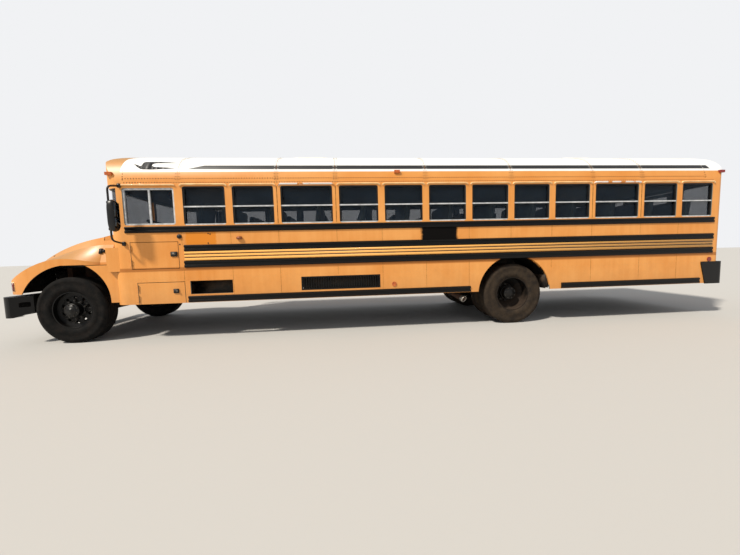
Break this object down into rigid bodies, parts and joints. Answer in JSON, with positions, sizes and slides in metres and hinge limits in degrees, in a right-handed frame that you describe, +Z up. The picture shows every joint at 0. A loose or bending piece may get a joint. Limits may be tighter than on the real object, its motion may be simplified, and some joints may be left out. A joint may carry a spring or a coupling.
{
  "type": "school bus",
  "caption": "Full-size conventional school bus with a tilting hood, steered front wheels, twin rear wheels, entrance and emergency doors, side doors and roof hatches.",
  "frame": {"origin": "on the ground at the middle of the overall length and width", "axes": "+X towards the rear of the bus, +Y towards its right side, +Z up"},
  "size_m": [11.9, 2.948, 3.084],
  "materials": {
    "bus_yellow": "faded satin",
    "roof_white": "satin",
    "hatch_white": "matte",
    "black_paint": "satin",
    "wheel_black": "satin",
    "chassis_black": "dusty",
    "spring_steel": "rusty",
    "engine_iron": "cast",
    "exhaust_steel": "rusty",
    "floor_grey": "ribbed",
    "frame_black": "painted black",
    "glass": "clear",
    "lamp_glass": "clear",
    "seat_vinyl": "dark green-grey",
    "dash_black": "matte",
    "mirror_black": "satin",
    "grille_black": "matte",
    "amber_lens": "ribbed lens",
    "red_lens": "ribbed lens",
    "tyre": "worn"
  },
  "bodies": {
    "bus": {"rail_left": "chassis_black", "rail_right": "chassis_black", "cross_members": "chassis_black", "front_axle": "chassis_black", "rear_axle": "chassis_black", "leaf_springs": "spring_steel", "driveline": "engine_iron", "front_bumper": "black_paint", "rear_bumper": "black_paint", "floor": "floor_grey", "floor_bearers": "chassis_black", "wheel_housings": "chassis_black", "entrance_steps": "floor_grey", "left_wall": "bus_yellow", "right_wall": "bus_yellow", "left_skirt": "bus_yellow", "right_skirt": "bus_yellow", "front_wall": "bus_yellow", "rear_wall": "bus_yellow", "roof": "roof_white", "roof_caps": "bus_yellow", "cowl": "bus_yellow", "rub_rails": "black_paint", "skirt_grille": "grille_black", "window_frames": "frame_black", "body_glass": "glass", "passenger_seats": "seat_vinyl", "seat_frames": "chassis_black", "driver_seat": "seat_vinyl", "dashboard": "dash_black", "fuel_tank": "black_paint", "exhaust": "exhaust_steel", "battery_tray": "chassis_black", "mirrors": "mirror_black", "amber_lamps": "amber_lens", "red_lamps": "red_lens"},
    "hood_unit": {"hood": "bus_yellow", "grille": "grille_black", "headlamps": "lamp_glass"},
    "left_knuckle": {"knuckle_left": "chassis_black"},
    "right_knuckle": {"knuckle_right": "chassis_black"},
    "left_front_wheel": {"front_wheel_left": "wheel_black", "front_tyre_left": "tyre"},
    "right_front_wheel": {"front_wheel_right": "wheel_black", "front_tyre_right": "tyre"},
    "left_rear_wheels": {"rear_wheels_left": "wheel_black", "rear_tyres_left": "tyre"},
    "right_rear_wheels": {"rear_wheels_right": "wheel_black", "rear_tyres_right": "tyre"},
    "steering": {"steering_wheel": "dash_black"},
    "front_leaf": {"entrance_door_front": "black_paint", "entrance_glass_front": "glass"},
    "rear_leaf": {"entrance_door_rear": "black_paint", "entrance_glass_rear": "glass"},
    "emergency_leaf": {"rear_door": "bus_yellow", "rear_door_glass": "glass"},
    "electrical_leaf": {"electrical_door": "bus_yellow"},
    "battery_leaf": {"battery_door": "bus_yellow"},
    "front_hatch": {"roof_hatch_1": "hatch_white"},
    "rear_hatch": {"roof_hatch_2": "hatch_white"}
  },
  "joints": [
    {"name": "hood_tilt", "type": "hinge", "parent": "bus", "child": "hood_unit", "pos_m": [-5.815, 0, 0.79], "axis": [0, -1, 0], "range_deg": [0, 65]},
    {"name": "steer_left", "type": "hinge", "parent": "bus", "child": "left_knuckle", "pos_m": [-4.975, -0.86, 0.508], "axis": [0, 0, 1], "range_deg": [-38, 38]},
    {"name": "steer_right", "type": "hinge", "parent": "bus", "child": "right_knuckle", "pos_m": [-4.975, 0.86, 0.508], "axis": [0, 0, 1], "range_deg": [-38, 38]},
    {"name": "front_left_spin", "type": "hinge", "parent": "left_knuckle", "child": "left_front_wheel", "pos_m": [-4.975, -1.002, 0.508], "axis": [0, -1, 0], "continuous": true},
    {"name": "front_right_spin", "type": "hinge", "parent": "right_knuckle", "child": "right_front_wheel", "pos_m": [-4.975, 1.002, 0.508], "axis": [0, -1, 0], "continuous": true},
    {"name": "rear_left_spin", "type": "hinge", "parent": "bus", "child": "left_rear_wheels", "pos_m": [2.035, -0.879, 0.508], "axis": [0, -1, 0], "continuous": true},
    {"name": "rear_right_spin", "type": "hinge", "parent": "bus", "child": "right_rear_wheels", "pos_m": [2.035, 0.879, 0.508], "axis": [0, -1, 0], "continuous": true},
    {"name": "steering_turn", "type": "hinge", "parent": "bus", "child": "steering", "pos_m": [-3.825, -0.64, 1.8], "axis": [0.45, 0, 0.893], "range_deg": [-690, 690]},
    {"name": "entrance_front", "type": "hinge", "parent": "bus", "child": "front_leaf", "pos_m": [-4.011, 1.229, 1.4], "axis": [0, 0, 1], "range_deg": [0, 85]},
    {"name": "entrance_rear", "type": "hinge", "parent": "bus", "child": "rear_leaf", "pos_m": [-3.299, 1.229, 1.4], "axis": [0, 0, -1], "range_deg": [0, 85]},
    {"name": "emergency_door", "type": "hinge", "parent": "bus", "child": "emergency_leaf", "pos_m": [5.875, 0.466, 1.7], "axis": [0, 0, 1], "range_deg": [0, 100]},
    {"name": "electrical_swing", "type": "hinge", "parent": "bus", "child": "electrical_leaf", "pos_m": [-3.991, -1.229, 1.3], "axis": [0, 0, -1], "range_deg": [0, 95]},
    {"name": "battery_swing", "type": "hinge", "parent": "bus", "child": "battery_leaf", "pos_m": [-3.931, -1.229, 0.74], "axis": [0, 0, -1], "range_deg": [0, 95]},
    {"name": "hatch_front_tilt", "type": "hinge", "parent": "bus", "child": "front_hatch", "pos_m": [-1.688, 0, 3.062], "axis": [0, -1, 0], "range_deg": [0, 95]},
    {"name": "hatch_rear_tilt", "type": "hinge", "parent": "bus", "child": "rear_hatch", "pos_m": [3.524, 0, 3.062], "axis": [0, -1, 0], "range_deg": [0, 95]}
  ],
  "couplings": [
    {"joint": "steer_right", "follows": "steer_left", "ratio": 1},
    {"joint": "steering_turn", "follows": "steer_left", "ratio": 18},
    {"joint": "entrance_rear", "follows": "entrance_front", "ratio": 1}
  ]
}
